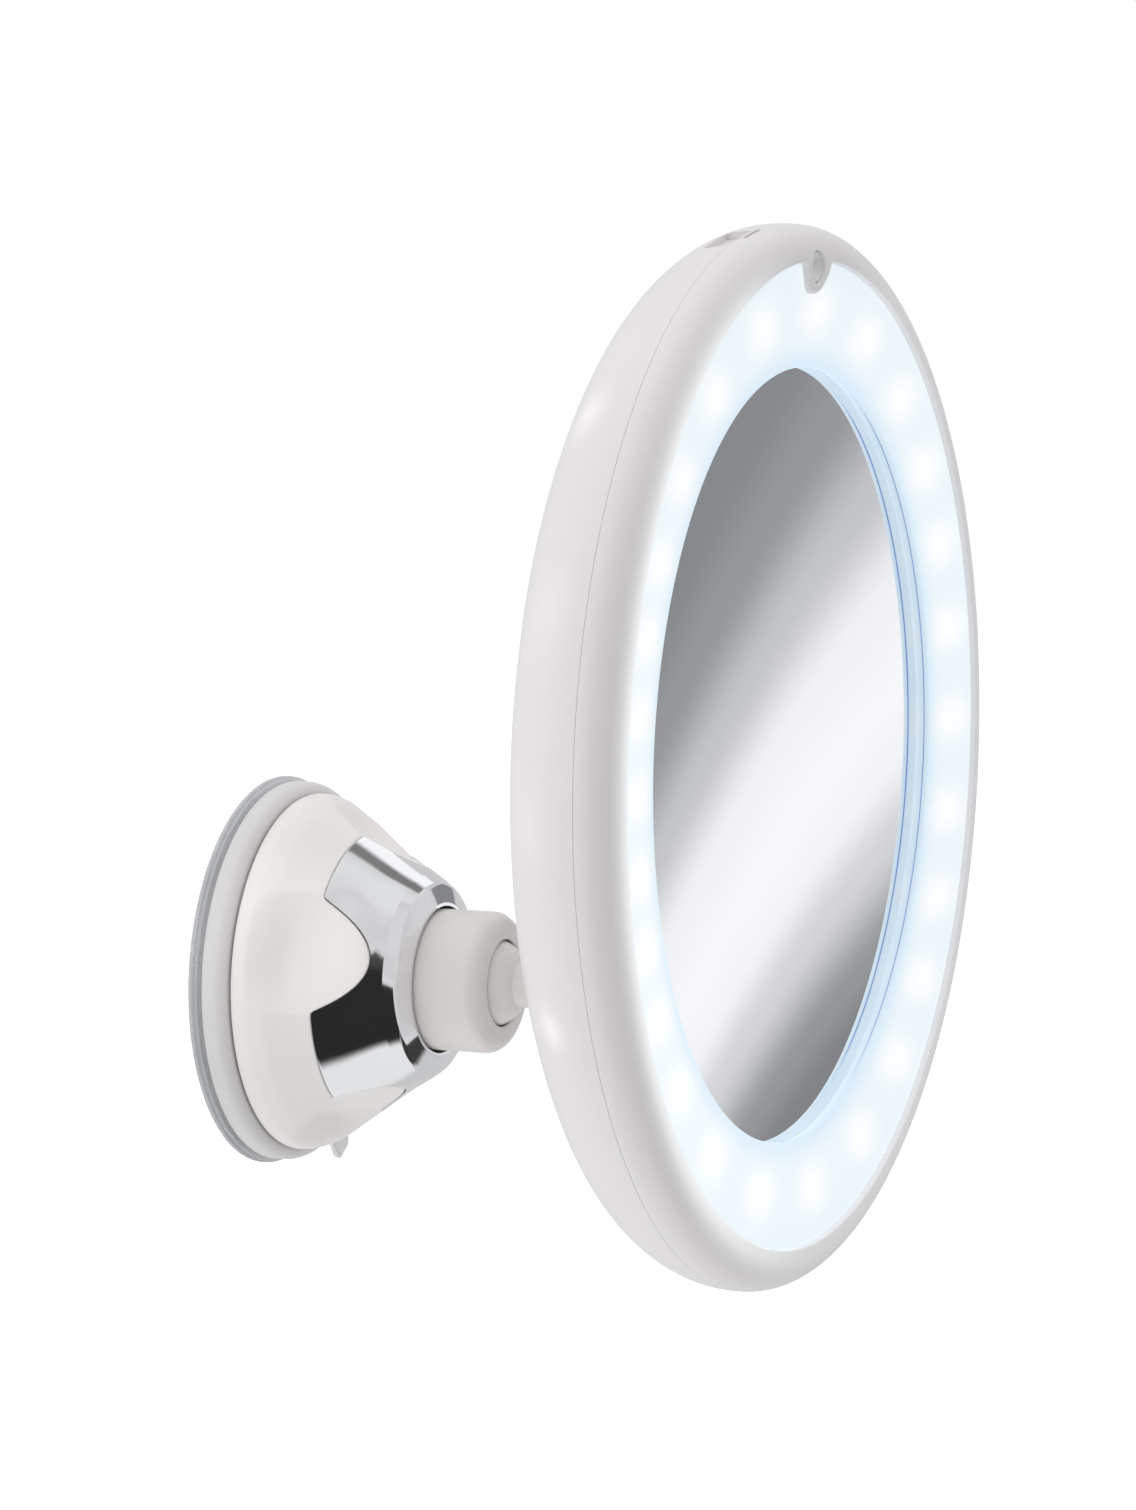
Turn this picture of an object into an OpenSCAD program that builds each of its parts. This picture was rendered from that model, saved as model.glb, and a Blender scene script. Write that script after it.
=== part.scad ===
// Wall mirror with a lit ring, held by a twist-lock suction mount and a ball joint.
// Millimetres. +Z is up, the wall is the plane Y = 0 and the mirror faces -Y.
// The origin is the centre of the suction face on the wall.
// Inside the modules the shapes are drawn in a mount frame: X across, Y up, Z out from the wall.

/* [Suction mount] */
// Radius of the suction cup's lip
cup_r = 38.1; // [37.6:0.1:40]
// Length of the release tab past the lip
tab_l = 11; // [6:0.5:12]
// Height of the suction cup at its middle
cup_h = 2.8; // [2.6:0.1:2.9]
// Radius of the white base ring
base_r = 37.2; // [36.9:0.1:37.4]
// Travel of the suction stud
stud_travel = 2.5; // [1.5:0.1:2.6]

/* [Twist knob] */
// Turn of the knob about its axis at rest
knob_turn = 29; // [0:1:89]
// Number of finger scallops
scallops = 4; // [4]
// Distance from the wall to the ends of the chrome legs
leg_end = 20.7; // [20:0.1:22]
// Distance from the wall to the tips of the white tongues
tongue_tip = 29.9; // [29:0.1:30.5]
// Half width of a tongue at the leg ends
tongue_half_w = 11.1; // [10:0.1:12]

/* [Ball joint] */
// Radius of the ball
ball_r = 9; // [8.9:0.05:9]
// Distance from the wall to the ball's centre
ball_out = 44.8; // [44.7:0.1:44.9]
// Radius of the collar nut
collar_r = 13.75; // [13.6:0.05:13.9]
// Distance from the wall to the collar nut's front face
collar_front = 49.2; // [49.1:0.1:49.4]
// Radius of the neck
neck_r = 4.5; // [3.5:0.1:4.6]

/* [Mirror head] */
// Outer radius of the head
head_r = 100; // [100:0.1:101]
// Height of the head's centre above the mount's axis
head_up = 46; // [44:0.5:48]
// Distance from the wall to the head's back
back_out = 88.7; // [88.5:0.1:89]
// Distance from the wall to the line between shell and bezel
split_out = 106.3; // [106.2:0.1:106.4]
// Distance from the wall to the bezel's front
front_out = 113.4; // [113.3:0.1:113.6]
// Wall thickness of the shells
wall = 2.2; // [2:0.1:2.4]
// Height of the lit window's centre above the head's centre
window_up = 0.8; // [0:0.1:0.8]
// Radius of the opening in the bezel
window_r = 92.5; // [92.3:0.1:92.6]
// Number of light-emitting diodes
led_count = 26; // [18:1:30]

/* [Mirror glass] */
// Visible radius of the mirror
glass_seen_r = 73.4; // [73.2:0.1:73.5]
// Radius of curvature of the concave face
glass_curve = 900; // [850:10:1200]
// Thickness of the glass
glass_t = 2; // [1.8:0.1:2]

/* [Hidden] */
$fn = 96;
e = 0.01;

// Clearances
run = 0.05;        // shaft in a running bore
slack = 0.25;      // ball and its liners
gap = 0.3;         // parts that only pass each other

// Knob
knob_rear = 7.4;
knob_wall = 1.8;
crown_t = 0.9;
crown_edge = 32.4;         // ridge between the legs' ring and the front bevel
crown_front = 36;
crown_hole = collar_r + 0.55;
hub_r = 15;
post_r = 10;
post_head_r = 11.9;
// Outer outline of the knob and crown, radius against distance from the wall
knob_outline = [
    [35, knob_rear], [34.8, 10], [33.4, 13], [22.9, 28], [20.3, crown_edge],
    [18.6, 34.6], [crown_hole + 0.7, crown_front]
];

// Stud and cam
stud_r = 4.2;
pin_r = 1.5;
pin_l = 25;
pin_out = 18.6;
cam_face = 17;
cam_r = 13.1;
ramp_turn = 90;

// Ball joint
liner_in = ball_r + slack;
liner_out = liner_in + 0.8;
socket_r = liner_out + slack;
stem_flange_r = 14;
stem_flange_t = 3;
stem_screw_ring = 9.5;

// Head
back_round = split_out - back_out;
back_flat_r = head_r - back_round;
front_round = 6.8;
lip_r = 72.4;
lip_out = 109.9;
glass_edge_out = 107.2;
face_edge_r = window_r - 0.3;
face_edge_out = 112.2;
glass_r = glass_seen_r + 2;
glass_centre = glass_edge_out + sqrt(pow(glass_curve, 2) - pow(glass_seen_r, 2));
board_out = 103.6;
led_ring = 83;
spigot_r = 97.4;
hook_n = 8;
hook_reach = 0.6;
hook_out = split_out - 3;
seal_out = split_out - 3.7;
button_up = 91.9;
button_r = 2.9;
lobe_r = 5.5;
lobe_out = front_out - 0.5;
pry_turn = 13.3;

// Battery box, centred above the head's centre
cell_r = 5.25;
cell_l = 44.5;
cell_pitch = 11.2;
cell_n = 3;
box_up = 12;
box_w = 34.6;
box_h = 52;
box_wall = 1.6;
hump = 3.2;
hump_w = 50;
hump_h = 68;
cover_t = 2;
cover_w = 40;
cover_h = 60;
box_floor = 98.8;
cell_out = back_out - hump + cover_t + 0.4 + cell_r;

// Turns the mount frame so that its Z points out from the wall
module outward() {
    rotate([90, 0, 0]) children();
}

// Places a shape at the head's centre, at a distance from the wall
module at_head(out = 0, up = 0) {
    outward() translate([0, head_up + up, out]) children();
}

// Repeats a shape n times round the axis, starting at a turn from straight up
module around(n, start = 0) {
    for (i = [0 : n - 1]) rotate(start + i * 360 / n) children();
}

// Annular disc between two radii
module ring(r_out, r_in, h) {
    difference() {
        cylinder(r = r_out, h = h);
        translate([0, 0, -e]) cylinder(r = r_in, h = h + 2 * e);
    }
}

// Block with rounded corners
module pad(w, h, t, r = 3) {
    linear_extrude(t) hull()
        for (x = [-1, 1], y = [-1, 1]) translate([x * (w / 2 - r), y * (h / 2 - r)]) circle(r, $fn = 32);
}

// Solid of the knob's outline, moved inward by a thickness
module knob_solid(inward = 0) {
    rotate_extrude() polygon(concat(
        [[0, knob_rear]],
        [for (p = knob_outline) [p[0] - inward, p[1]]],
        [[0, crown_front]]));
}

// Outline of one white tongue: a round tip that widens towards the wall
module tongue_outline(grow = 0) {
    tip_r = 7.2 + grow;
    shoulder_w = 5.4 + grow;
    shoulder = tongue_tip - 3.6;
    widen = (tongue_half_w + grow - shoulder_w) / (shoulder - leg_end);
    wide = tongue_half_w + grow + 3 * widen;
    translate([0, grow - tongue_tip + tip_r]) circle(tip_r);
    polygon([
        [-wide, 3 - leg_end], [-wide, 0], [wide, 0], [wide, 3 - leg_end],
        [shoulder_w, -shoulder], [-shoulder_w, -shoulder]]);
}

// Wedge that stands on the outline of each tongue, running out from the axis
module tongue_cutters(grow = 0) {
    around(scallops, knob_turn + 45)
        translate([0, 12, 0]) rotate([-90, 0, 0]) linear_extrude(30) tongue_outline(grow);
}

// Finger scallop: a round trough that runs down the tongue
module scallop_cutters() {
    trough_r = 26;
    around(scallops, knob_turn + 45)
        translate([0, 22.9, 27.5]) rotate([41, 0, 0])
            translate([0, trough_r - 1.5, -12]) cylinder(r = trough_r, h = 40);
}

// Where the chrome crown lies on the knob
module crown_zone(inward) {
    difference() {
        knob_solid(inward);
        translate([0, 0, -e]) cylinder(r = 60, h = leg_end + e);
        tongue_cutters();
    }
}

// Soft cup that seals on the wall, with a pull tab for letting the air in
module suction_cup() {
    color([0.72, 0.74, 0.77]) outward() {
        rotate_extrude() polygon([
            [0, 0], [cup_r, 0], [cup_r, 0.7], [cup_r - 1.3, 1.5], [cup_r - 2.6, 1.8],
            [30, 2.1], [24, cup_h - 0.3], [16, cup_h], [0, cup_h]]);
        rotate(214) translate([-3.5, cup_r - 1.5, 0.2]) {
            cube([7, tab_l - 2, 1]);
            translate([3.5, tab_l - 2, 0]) cylinder(r = 3.5, h = 1);
        }
    }
}

// Rigid ring that presses the cup's rim, with a raised hub for the post
module base_ring() {
    hub_top = 9.6;
    color([0.88, 0.87, 0.86]) outward() difference() {
        rotate_extrude() polygon([
            [14.8, 3], [base_r - 1.6, 3], [base_r - 1.4, 2], [base_r - 0.4, 2.1], [base_r, 2.8],
            [base_r - 0.1, 4.4], [base_r - 0.8, 5.8], [base_r - 2, 7], [31.8, 7],
            [31.8, 9.2], [30.4, 9.2], [30.4, 5], [16.6, 5], [16.6, hub_top],
            [stud_r + 0.1, hub_top], [stud_r + 0.1, hub_top - 2], [14.8, hub_top - 2]]);
        around(4, 45) translate([7.2, 0, 7]) {
            cylinder(r = 1.3, h = 4);
            translate([0, 0, 0.6 - e]) cylinder(r1 = 2.4, r2 = 1.3, h = 1.2);
        }
    }
}

// Fixed post that carries the knob, guides the stud and ends in the ball's socket
module socket_post() {
    color([0.9, 0.9, 0.88]) outward() difference() {
        union() {
            translate([0, 0, 9.6]) cylinder(r = post_r, h = 24);
            translate([0, 0, 33.2]) cylinder(r = post_head_r, h = ball_out - 33.2);
        }
        translate([0, 0, ball_out]) sphere(r = socket_r);
        translate([0, 0, 9]) cylinder(r = stud_r, h = 20.5);
        translate([-post_head_r, -pin_r - 0.1, pin_out - pin_r - 0.2])
            cube([2 * post_head_r, 2 * pin_r + 0.2, stud_travel + 2 * pin_r + 0.6]);
        around(4, 45) translate([7.2, 0, 9]) cylinder(r = 1.3, h = 7.6);
    }
}

// Countersunk screws that hold the post on the base
module post_screws() {
    color([0.6, 0.6, 0.62]) outward() around(4, 45) translate([7.2, 0, 7.65]) {
        cylinder(r1 = 2.25, r2 = 1.25, h = 1.1);
        cylinder(r = 1.25, h = 8.5);
    }
}

// Low-friction washer under the post's head
module thrust_washer() {
    color([0.93, 0.93, 0.9]) outward() translate([0, 0, 32.3]) ring(post_head_r - 0.2, post_r + run, 0.8);
}

// White knob with finger scallops
module twist_knob() {
    web_out = 29.4;
    color([0.95, 0.93, 0.91]) outward() difference() {
        union() {
            difference() {
                knob_solid();
                difference() {
                    knob_solid(knob_wall + crown_t);
                    translate([0, 0, web_out]) cylinder(r = 60, h = 20);
                }
                translate([0, 0, 32.2]) cylinder(r = 60, h = 20);
                scallop_cutters();
            }
            translate([0, 0, cam_face - 5]) cylinder(r = hub_r, h = web_out - cam_face + 5.5);
        }
        difference() {
            knob_solid(-2);
            knob_solid(crown_t + 0.05);
            translate([0, 0, -e]) cylinder(r = 60, h = leg_end - 0.05);
            tongue_cutters(-0.05);
        }
        translate([0, 0, cam_face - 6]) cylinder(r = cam_r + run, h = web_out - cam_face + 6);
        translate([0, 0, web_out - 1]) cylinder(r = post_r + run, h = 10);
        translate([0, 0, 32.1]) cylinder(r = post_head_r + gap, h = 10);
    }
}

// Chrome crown: four legs between the tongues and a bevelled ring round the collar
module chrome_crown() {
    color([0.75, 0.76, 0.78]) outward() difference() {
        crown_zone(0);
        knob_solid(crown_t);
        translate([0, 0, crown_front - 4]) cylinder(r = crown_hole, h = 6);
    }
}

// Bush that turns with the knob on the post
module cam_ring() {
    color([0.85, 0.85, 0.8]) outward() translate([0, 0, cam_face - 5]) ring(cam_r, post_r + run, 5);
}

// Height of the ramp above the bush after a turn
function ramp_height(a) = 0.05 + stud_travel * min(1, max(0, a / ramp_turn));

// One helical ramp that lifts the cross pin
module ramp() {
    ramp_in = post_r + 0.1;
    steps = 20;
    first = -14;
    span = ramp_turn + 28;
    angles = [for (i = [0 : steps]) first + span * i / steps];
    rows = [for (a = angles)
        let (z = ramp_height(a))
        each [[ramp_in * cos(a), ramp_in * sin(a), 0], [cam_r * cos(a), cam_r * sin(a), 0],
              [cam_r * cos(a), cam_r * sin(a), z], [ramp_in * cos(a), ramp_in * sin(a), z]]];
    last = 4 * steps;
    polyhedron(rows, concat(
        [[0, 1, 2, 3], [last + 3, last + 2, last + 1, last]],
        [for (i = [0 : steps - 1], k = [0 : 3])
            let (a = 4 * i + k, b = 4 * i + (k + 1) % 4) [a, a + 4, b + 4, b]]));
}

// Both ramps, half a turn apart
module cam_ramps() {
    color([0.85, 0.85, 0.8]) outward() translate([0, 0, cam_face]) around(2) ramp();
}

// Stud bonded to the cup's middle
module suction_stud() {
    plate_t = 1.6;
    color([0.8, 0.8, 0.78]) outward() difference() {
        union() {
            translate([0, 0, cup_h + 0.05]) cylinder(r = 14, h = plate_t);
            translate([0, 0, cup_h + 1]) cylinder(r = stud_r - run, h = 22.4);
        }
        translate([-20, 0, pin_out]) rotate([0, 90, 0]) cylinder(r = pin_r + 0.02, h = 40);
    }
}

// Steel pin through the stud that rides on the ramps
module cross_pin() {
    color([0.65, 0.66, 0.68]) outward()
        translate([-pin_l / 2, 0, pin_out]) rotate([0, 90, 0]) cylinder(r = pin_r, h = pin_l);
}

// Nut that clamps the ball
module collar_nut() {
    nut_round = 3.3;
    nut_rear = 34.5;
    color([0.86, 0.85, 0.83]) outward() difference() {
        rotate_extrude() union() {
            translate([0, nut_rear]) square([collar_r, collar_front - nut_round - nut_rear]);
            translate([0, nut_rear]) square([collar_r - nut_round, collar_front - nut_rear]);
            translate([collar_r - nut_round, collar_front - nut_round]) circle(nut_round);
        }
        translate([0, 0, nut_rear - e]) cylinder(r = post_head_r + run, h = collar_front - 2 - nut_rear);
        translate([0, 0, collar_front - 2 - 2 * e])
            cylinder(r1 = ball_r + 0.25, r2 = ball_r - 0.9, h = 2 + 3 * e);
    }
}

// Front liner that the nut presses on the ball
module clamp_ring() {
    color([0.9, 0.9, 0.88]) outward() difference() {
        translate([0, 0, ball_out + 0.2]) cylinder(r = post_head_r - 0.2, h = 2);
        translate([0, 0, ball_out]) sphere(r = liner_in);
    }
}

// Rear liner behind the ball
module ball_seat() {
    color([0.9, 0.9, 0.88]) outward() difference() {
        translate([0, 0, ball_out]) sphere(r = liner_out);
        translate([0, 0, ball_out]) sphere(r = liner_in);
        translate([0, 0, ball_out - 5.2]) cylinder(r = 20, h = 20);
        translate([0, 0, 20]) cylinder(r = 2.5, h = 20);
    }
}

// Ball, neck and the flange on the back of the head
module ball_stem() {
    flare = 8;
    flange_out = back_out - stem_flange_t - 0.05;
    color([0.9, 0.89, 0.88]) outward() difference() {
        union() {
            translate([0, 0, ball_out]) sphere(r = ball_r);
            translate([0, 0, ball_out]) cylinder(r = neck_r, h = back_out + 2.6 - ball_out);
            translate([0, 0, flange_out - flare]) cylinder(r1 = neck_r, r2 = 10, h = flare);
            translate([0, 0, flange_out]) cylinder(r = stem_flange_r, h = stem_flange_t);
        }
        around(3) translate([0, stem_screw_ring, flange_out - 3]) cylinder(r = 1.5, h = 8);
    }
}

// Screws from inside the shell into the flange
module stem_screws() {
    color([0.6, 0.6, 0.62]) outward() around(3) translate([0, stem_screw_ring, 0]) {
        translate([0, 0, back_out + wall + 0.05]) cylinder(r = 2.6, h = 1.8);
        translate([0, 0, back_out - 5]) cylinder(r = 1.45, h = wall + 5.5);
    }
}

// Half section of the head behind the split line, moved inward by a thickness
module back_section(inward = 0) {
    translate([0, back_out + inward]) square([back_flat_r, back_round - inward]);
    translate([back_flat_r, split_out]) intersection() {
        circle(back_round - inward);
        translate([0, -back_round]) square(back_round);
    }
}

// Round back shell with the battery box, a seal ledge, a groove for the hooks and a pry notch
module rear_shell() {
    color([0.89, 0.88, 0.885]) difference() {
        union() {
            at_head() rotate_extrude() difference() {
                back_section();
                translate([-e, e]) back_section(wall);
            }
            at_head(seal_out - 1.2) ring(spigot_r + 0.3, spigot_r - 2.6, 1.15);
            at_head(back_out - hump, box_up) {
                pad(hump_w, hump_h, hump + wall, 5);
                pad(box_w + 2 * box_wall, box_h + 2 * box_wall, box_floor + 1.2 - back_out + hump, 2);
            }
            at_head() around(4, 20) translate([-1, 60, back_out + 1]) cube([2, 17, board_out - back_out - 1.4]);
        }
        at_head(back_out - hump - e, box_up) {
            pad(box_w, box_h, box_floor - back_out + hump + e, 1);
            pad(cover_w, cover_h, cover_t + e, 2);
            translate([0, cover_h / 2 - 2.6, 0]) cylinder(r = 1.3, h = 7);
        }
        at_head(hook_out - 0.3) ring(spigot_r + hook_reach + 0.1, spigot_r - 1, 1.6);
        outward() {
            translate([0, 0, back_out - 1]) cylinder(r = neck_r + 0.1, h = 10);
            around(3) translate([0, stem_screw_ring, back_out - 1]) cylinder(r = 1.6, h = 10);
        }
        at_head() rotate(pry_turn) translate([-6, head_r - 1.8, 101.4]) cube([12, 5, 6]);
    }
}

// Front bezel: a quarter-round rim with a lobe that carries the button, and a spigot with snap hooks
module front_bezel() {
    round_in = front_round - 2;
    round_at = head_r - front_round;
    color([0.88, 0.87, 0.87]) difference() {
        union() {
            at_head() difference() {
                rotate_extrude() difference() {
                    union() {
                        translate([0, split_out]) square([head_r, front_out - front_round - split_out]);
                        translate([0, split_out]) square([round_at, front_out - split_out]);
                        translate([round_at, front_out - front_round]) circle(front_round);
                    }
                    translate([-e, split_out - 20]) square([200, 20]);
                    translate([round_at, front_out - front_round]) circle(round_in);
                    translate([-e, split_out - 5]) square([round_at + round_in, front_out - front_round - split_out + 5]);
                    translate([-e, split_out - 5]) square([round_at + e, front_out - 2 - split_out + 5]);
                }
                translate([0, window_up, 0]) cylinder(r = window_r, h = 200);
            }
            at_head(hook_out) ring(spigot_r, spigot_r - 1.6, split_out - hook_out + 0.4);
            at_head(split_out) ring(head_r - 1, spigot_r - 2.2, 1.2);
            at_head(hook_out) intersection() {
                around(hook_n, 22.5) translate([-5, spigot_r - 1.5, 0]) cube([10, 5, 1]);
                cylinder(r = spigot_r + hook_reach, h = 2);
            }
            at_head(107.2, button_up) cylinder(r = lobe_r, h = lobe_out - 107.2);
        }
        at_head(0, button_up) {
            translate([0, 0, 100]) cylinder(r = button_r + 0.1, h = 20);
            translate([0, 0, 100]) cylinder(r = 4.1, h = 10.5);
        }
        at_head() rotate(pry_turn - 2) translate([-4, head_r - 1.2, split_out + 0.7]) cube([8, 5, 0.7]);
    }
}

// Rubber seal in the joint between shell and bezel
module case_seal() {
    color([0.3, 0.3, 0.32]) at_head(seal_out) ring(spigot_r - 0.5, spigot_r - 2.2, 0.65);
}

// Positions of the three cells across the box
cell_x = [for (i = [0 : cell_n - 1]) (i - (cell_n - 1) / 2) * cell_pitch];

// Three AAA cells, the middle one turned over
module batteries() {
    color([0.25, 0.45, 0.3]) at_head(cell_out, box_up) for (i = [0 : cell_n - 1])
        translate([cell_x[i], i % 2 == 0 ? 1.4 : -1.4, 0]) rotate([i % 2 == 0 ? -90 : 90, 0, 0]) {
            translate([0, 0, -cell_l / 2]) cylinder(r = cell_r, h = cell_l - 1);
            translate([0, 0, cell_l / 2 - 1]) cylinder(r = 1.9, h = 1);
        }
}

// Conical contact springs at the cells' flat ends
module contact_springs() {
    turns = 4;
    wire = 0.35;
    color([0.75, 0.75, 0.72]) at_head(cell_out, box_up) for (i = [0 : cell_n - 1])
        translate([cell_x[i], 0, 0]) mirror([0, i % 2, 0])
            translate([0, -box_h / 2 + 0.55, 0]) rotate([-90, 0, 0])
                for (k = [0 : turns - 1]) translate([0, 0, wire + k * 0.85])
                    rotate_extrude() translate([3.6 - k * 0.5, 0]) circle(wire, $fn = 24);
}

// Sheet contacts at both ends of the box
module contact_plates() {
    plate_t = 0.4;
    color([0.78, 0.78, 0.75]) at_head(cell_out, box_up) for (i = [0 : cell_n - 1], end = [-1, 1])
        translate([cell_x[i] - 4.6, end * (box_h / 2 - plate_t / 2 - 0.05) - plate_t / 2, -4.6])
            cube([9.2, plate_t, 9.2]);
}

// Cover of the battery box, flush with the hump
module battery_cover() {
    color([0.88, 0.87, 0.875]) at_head(back_out - hump, box_up) difference() {
        union() {
            pad(cover_w - 0.5, cover_h - 0.5, cover_t - 0.1, 2);
            translate([0, 0, cover_t - 0.3]) for (x = [-1, 1])
                translate([x * cell_pitch / 2 - 0.4, -18, 0]) cube([0.8, 36, 0.5]);
        }
        translate([0, cover_h / 2 - 2.6, -1]) cylinder(r = 1.35, h = 7);
        translate([0, cover_h / 2 - 2.6, -e]) cylinder(r1 = 2.3, r2 = 1.35, h = 0.95);
        for (i = [-2 : 2]) translate([-8, -cover_h / 2 + 6 + 1.6 * i, -e]) cube([16, 0.7, 0.5]);
    }
}

// Captive screw of the cover
module cover_screw() {
    color([0.6, 0.6, 0.62]) at_head(back_out - hump, box_up + cover_h / 2 - 2.6) difference() {
        union() {
            cylinder(r1 = 2.2, r2 = 1.25, h = 0.95);
            cylinder(r = 1.25, h = 6);
        }
        translate([-1.3, -0.25, -e]) cube([2.6, 0.5, 0.5]);
        translate([-0.25, -1.3, -e]) cube([0.5, 2.6, 0.5]);
    }
}

// Concave magnifying glass, of even thickness
module mirror_glass() {
    color([0.6, 0.62, 0.65]) at_head(0, window_up) rotate_extrude() intersection() {
        translate([0, glass_centre]) difference() {
            circle(glass_curve + glass_t, $fn = 720);
            circle(glass_curve, $fn = 720);
        }
        translate([0, 95]) square([glass_r, 20]);
    }
}

// Ring that carries the glass by its edge
module mirror_carrier() {
    ledge_in = 71;
    color([0.9, 0.9, 0.9]) at_head(0, window_up) rotate_extrude() polygon([
        [ledge_in, board_out - 0.3], [77.4, board_out - 0.3], [77.4, 107.6], [glass_r + 0.2, 107.6],
        [glass_r + 0.2, 104.8], [ledge_in, 104.8]]);
}

// Milky ring in front of the diodes, with its wall down to the glass
module diffuser_ring() {
    color([0.93, 0.97, 0.99]) at_head(0, window_up) difference() {
        rotate_extrude() polygon([
            [lip_r, lip_out], [face_edge_r, face_edge_out], [face_edge_r, 110.6], [94.6, 110.6], [94.6, 109.1],
            [90.5, 109.6], [76.4, 108.2], [75.2, 107.7], [glass_seen_r, 107.45]]);
        translate([0, button_up - window_up, 100]) cylinder(r = lobe_r + 0.25, h = 20);
    }
}

// Turn of one diode from straight up: they sit closer together at the sides than at the top
function led_turn(i) = let (t = (i + 0.5) * 360 / led_count) t + 8.6 * sin(2 * t) + 1.7 * sin(4 * t) + 6.9 * cos(t);

// Ring-shaped circuit board of the diodes
module led_board() {
    color([0.92, 0.93, 0.9]) at_head(board_out, window_up) difference() {
        ring(90, 77.8, 1.2);
        translate([0, button_up - window_up, -1]) cylinder(r = 7, h = 5);
    }
}

// Light-emitting diodes on the board
module leds() {
    color([1, 0.98, 0.8]) at_head(board_out + 1.2 + e, window_up) for (i = [0 : led_count - 1])
        rotate(led_turn(i)) translate([-1.75, led_ring - 1.4, 0]) {
            cube([3.5, 2.8, 1.2]);
            translate([1.75, 1.4, 1.2]) cylinder(r = 1.1, h = 0.5);
        }
}

// Small board under the button
module switch_board() {
    color([0.25, 0.45, 0.3]) at_head(101.6, button_up) translate([-5, -5, 0]) cube([10, 7.2, 1.2]);
}

// Push switch on the small board
module push_switch() {
    color([0.2, 0.2, 0.22]) at_head(102.8 + e, button_up) {
        translate([-2.9, -2.9, 0]) cube([5.8, 5.8, 3]);
        translate([0, 0, 3]) cylinder(r = 1.6, h = 1);
    }
}

// Round button with a dished face and a collar that keeps it in the lobe
module power_button() {
    dish_r = 9;
    color([0.86, 0.86, 0.87]) at_head(0, button_up) difference() {
        union() {
            translate([0, 0, 108.3]) cylinder(r = button_r, h = lobe_out - 108.3 - 0.3);
            translate([0, 0, 108.3]) cylinder(r = 3.8, h = 2);
        }
        translate([0, 0, lobe_out + dish_r - 1]) sphere(r = dish_r);
    }
}

// Two insulated wires from the battery box to the small board
module lead_wires() {
    wire_r = 0.55;
    low = box_up + box_h / 2 + box_wall + 0.1;
    color([0.75, 0.15, 0.15]) at_head(100.3, 0) for (x = [-1.6, 1.6]) {
        translate([x, low - 12, 0.4]) rotate([-90, 0, 0]) cylinder(r = wire_r, h = button_up - 1 - low + 12);
        translate([x, button_up - 1, 0.4]) sphere(r = wire_r);
    }
}

suction_cup();
base_ring();
socket_post();
post_screws();
thrust_washer();
twist_knob();
chrome_crown();
cam_ring();
cam_ramps();
suction_stud();
cross_pin();
collar_nut();
clamp_ring();
ball_seat();
ball_stem();
stem_screws();
rear_shell();
front_bezel();
case_seal();
batteries();
contact_springs();
contact_plates();
battery_cover();
cover_screw();
mirror_glass();
mirror_carrier();
diffuser_ring();
led_board();
leds();
switch_board();
push_switch();
power_button();
lead_wires();
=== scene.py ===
"""Looks of a lit wall mirror on a twist-lock suction mount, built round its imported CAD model.

Sections are drawn in millimetres as (radius from an axis, distance out from the wall, rounding).
Angles are in radians, from straight up towards -X, which is the side that faces the camera.
"""

import math

import bmesh
import bpy
import numpy as np
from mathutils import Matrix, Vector


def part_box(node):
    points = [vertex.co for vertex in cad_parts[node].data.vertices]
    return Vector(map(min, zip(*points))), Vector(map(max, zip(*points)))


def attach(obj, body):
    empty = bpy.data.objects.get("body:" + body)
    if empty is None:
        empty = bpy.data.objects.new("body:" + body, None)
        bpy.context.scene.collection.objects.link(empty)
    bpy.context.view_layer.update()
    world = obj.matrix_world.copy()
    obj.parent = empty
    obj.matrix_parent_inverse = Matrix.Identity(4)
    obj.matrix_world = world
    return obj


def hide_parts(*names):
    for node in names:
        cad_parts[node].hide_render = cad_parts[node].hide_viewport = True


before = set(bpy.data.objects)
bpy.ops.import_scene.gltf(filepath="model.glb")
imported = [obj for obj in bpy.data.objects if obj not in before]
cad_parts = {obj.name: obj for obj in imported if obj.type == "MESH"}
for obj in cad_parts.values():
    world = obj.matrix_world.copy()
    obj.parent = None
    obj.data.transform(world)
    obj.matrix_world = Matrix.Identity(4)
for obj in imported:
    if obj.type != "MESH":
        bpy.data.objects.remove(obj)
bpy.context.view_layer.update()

MM = 0.001


# ---------------------------------------------------------------- sizes from the frame

def low_high(node):
    """Lowest and highest corner of a CAD node in millimetres, as (across, out from the wall, up)."""
    low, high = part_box(node)
    return (np.array([low.x, -high.y, low.z]) / MM, np.array([high.x, -low.y, high.z]) / MM)


def centre_up(node):
    low, high = low_high(node)
    return (low[2] + high[2]) / 2


CUP_R = low_high("suction_cup")[1][0]
BASE_R = low_high("base_ring")[1][0]
BASE_HUB = low_high("base_ring")[1][1]
KNOB_BACK = low_high("twist_knob")[0][1]
LEG_END = low_high("chrome_crown")[0][1]
CROWN_FRONT = low_high("chrome_crown")[1][1]
COLLAR_R = low_high("collar_nut")[1][0]
COLLAR_BACK, COLLAR_FRONT = low_high("collar_nut")[0][1], low_high("collar_nut")[1][1]
BALL_R = 9.0
BALL_OUT = low_high("ball_stem")[0][1] + BALL_R
STEM_FRONT = low_high("ball_stem")[1][1]
HEAD_UP = centre_up("front_bezel")
HEAD_R = low_high("front_bezel")[1][0]
HUMP_BACK = low_high("rear_shell")[0][1]
SPLIT = low_high("rear_shell")[1][1]
FRONT = low_high("front_bezel")[1][1]
WINDOW_UP = centre_up("led_board")
BACK = SPLIT - 17.6
BACK_ROUND = SPLIT - BACK
BUTTON_UP = centre_up("power_button")
BUTTON_R = 2.9
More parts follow.
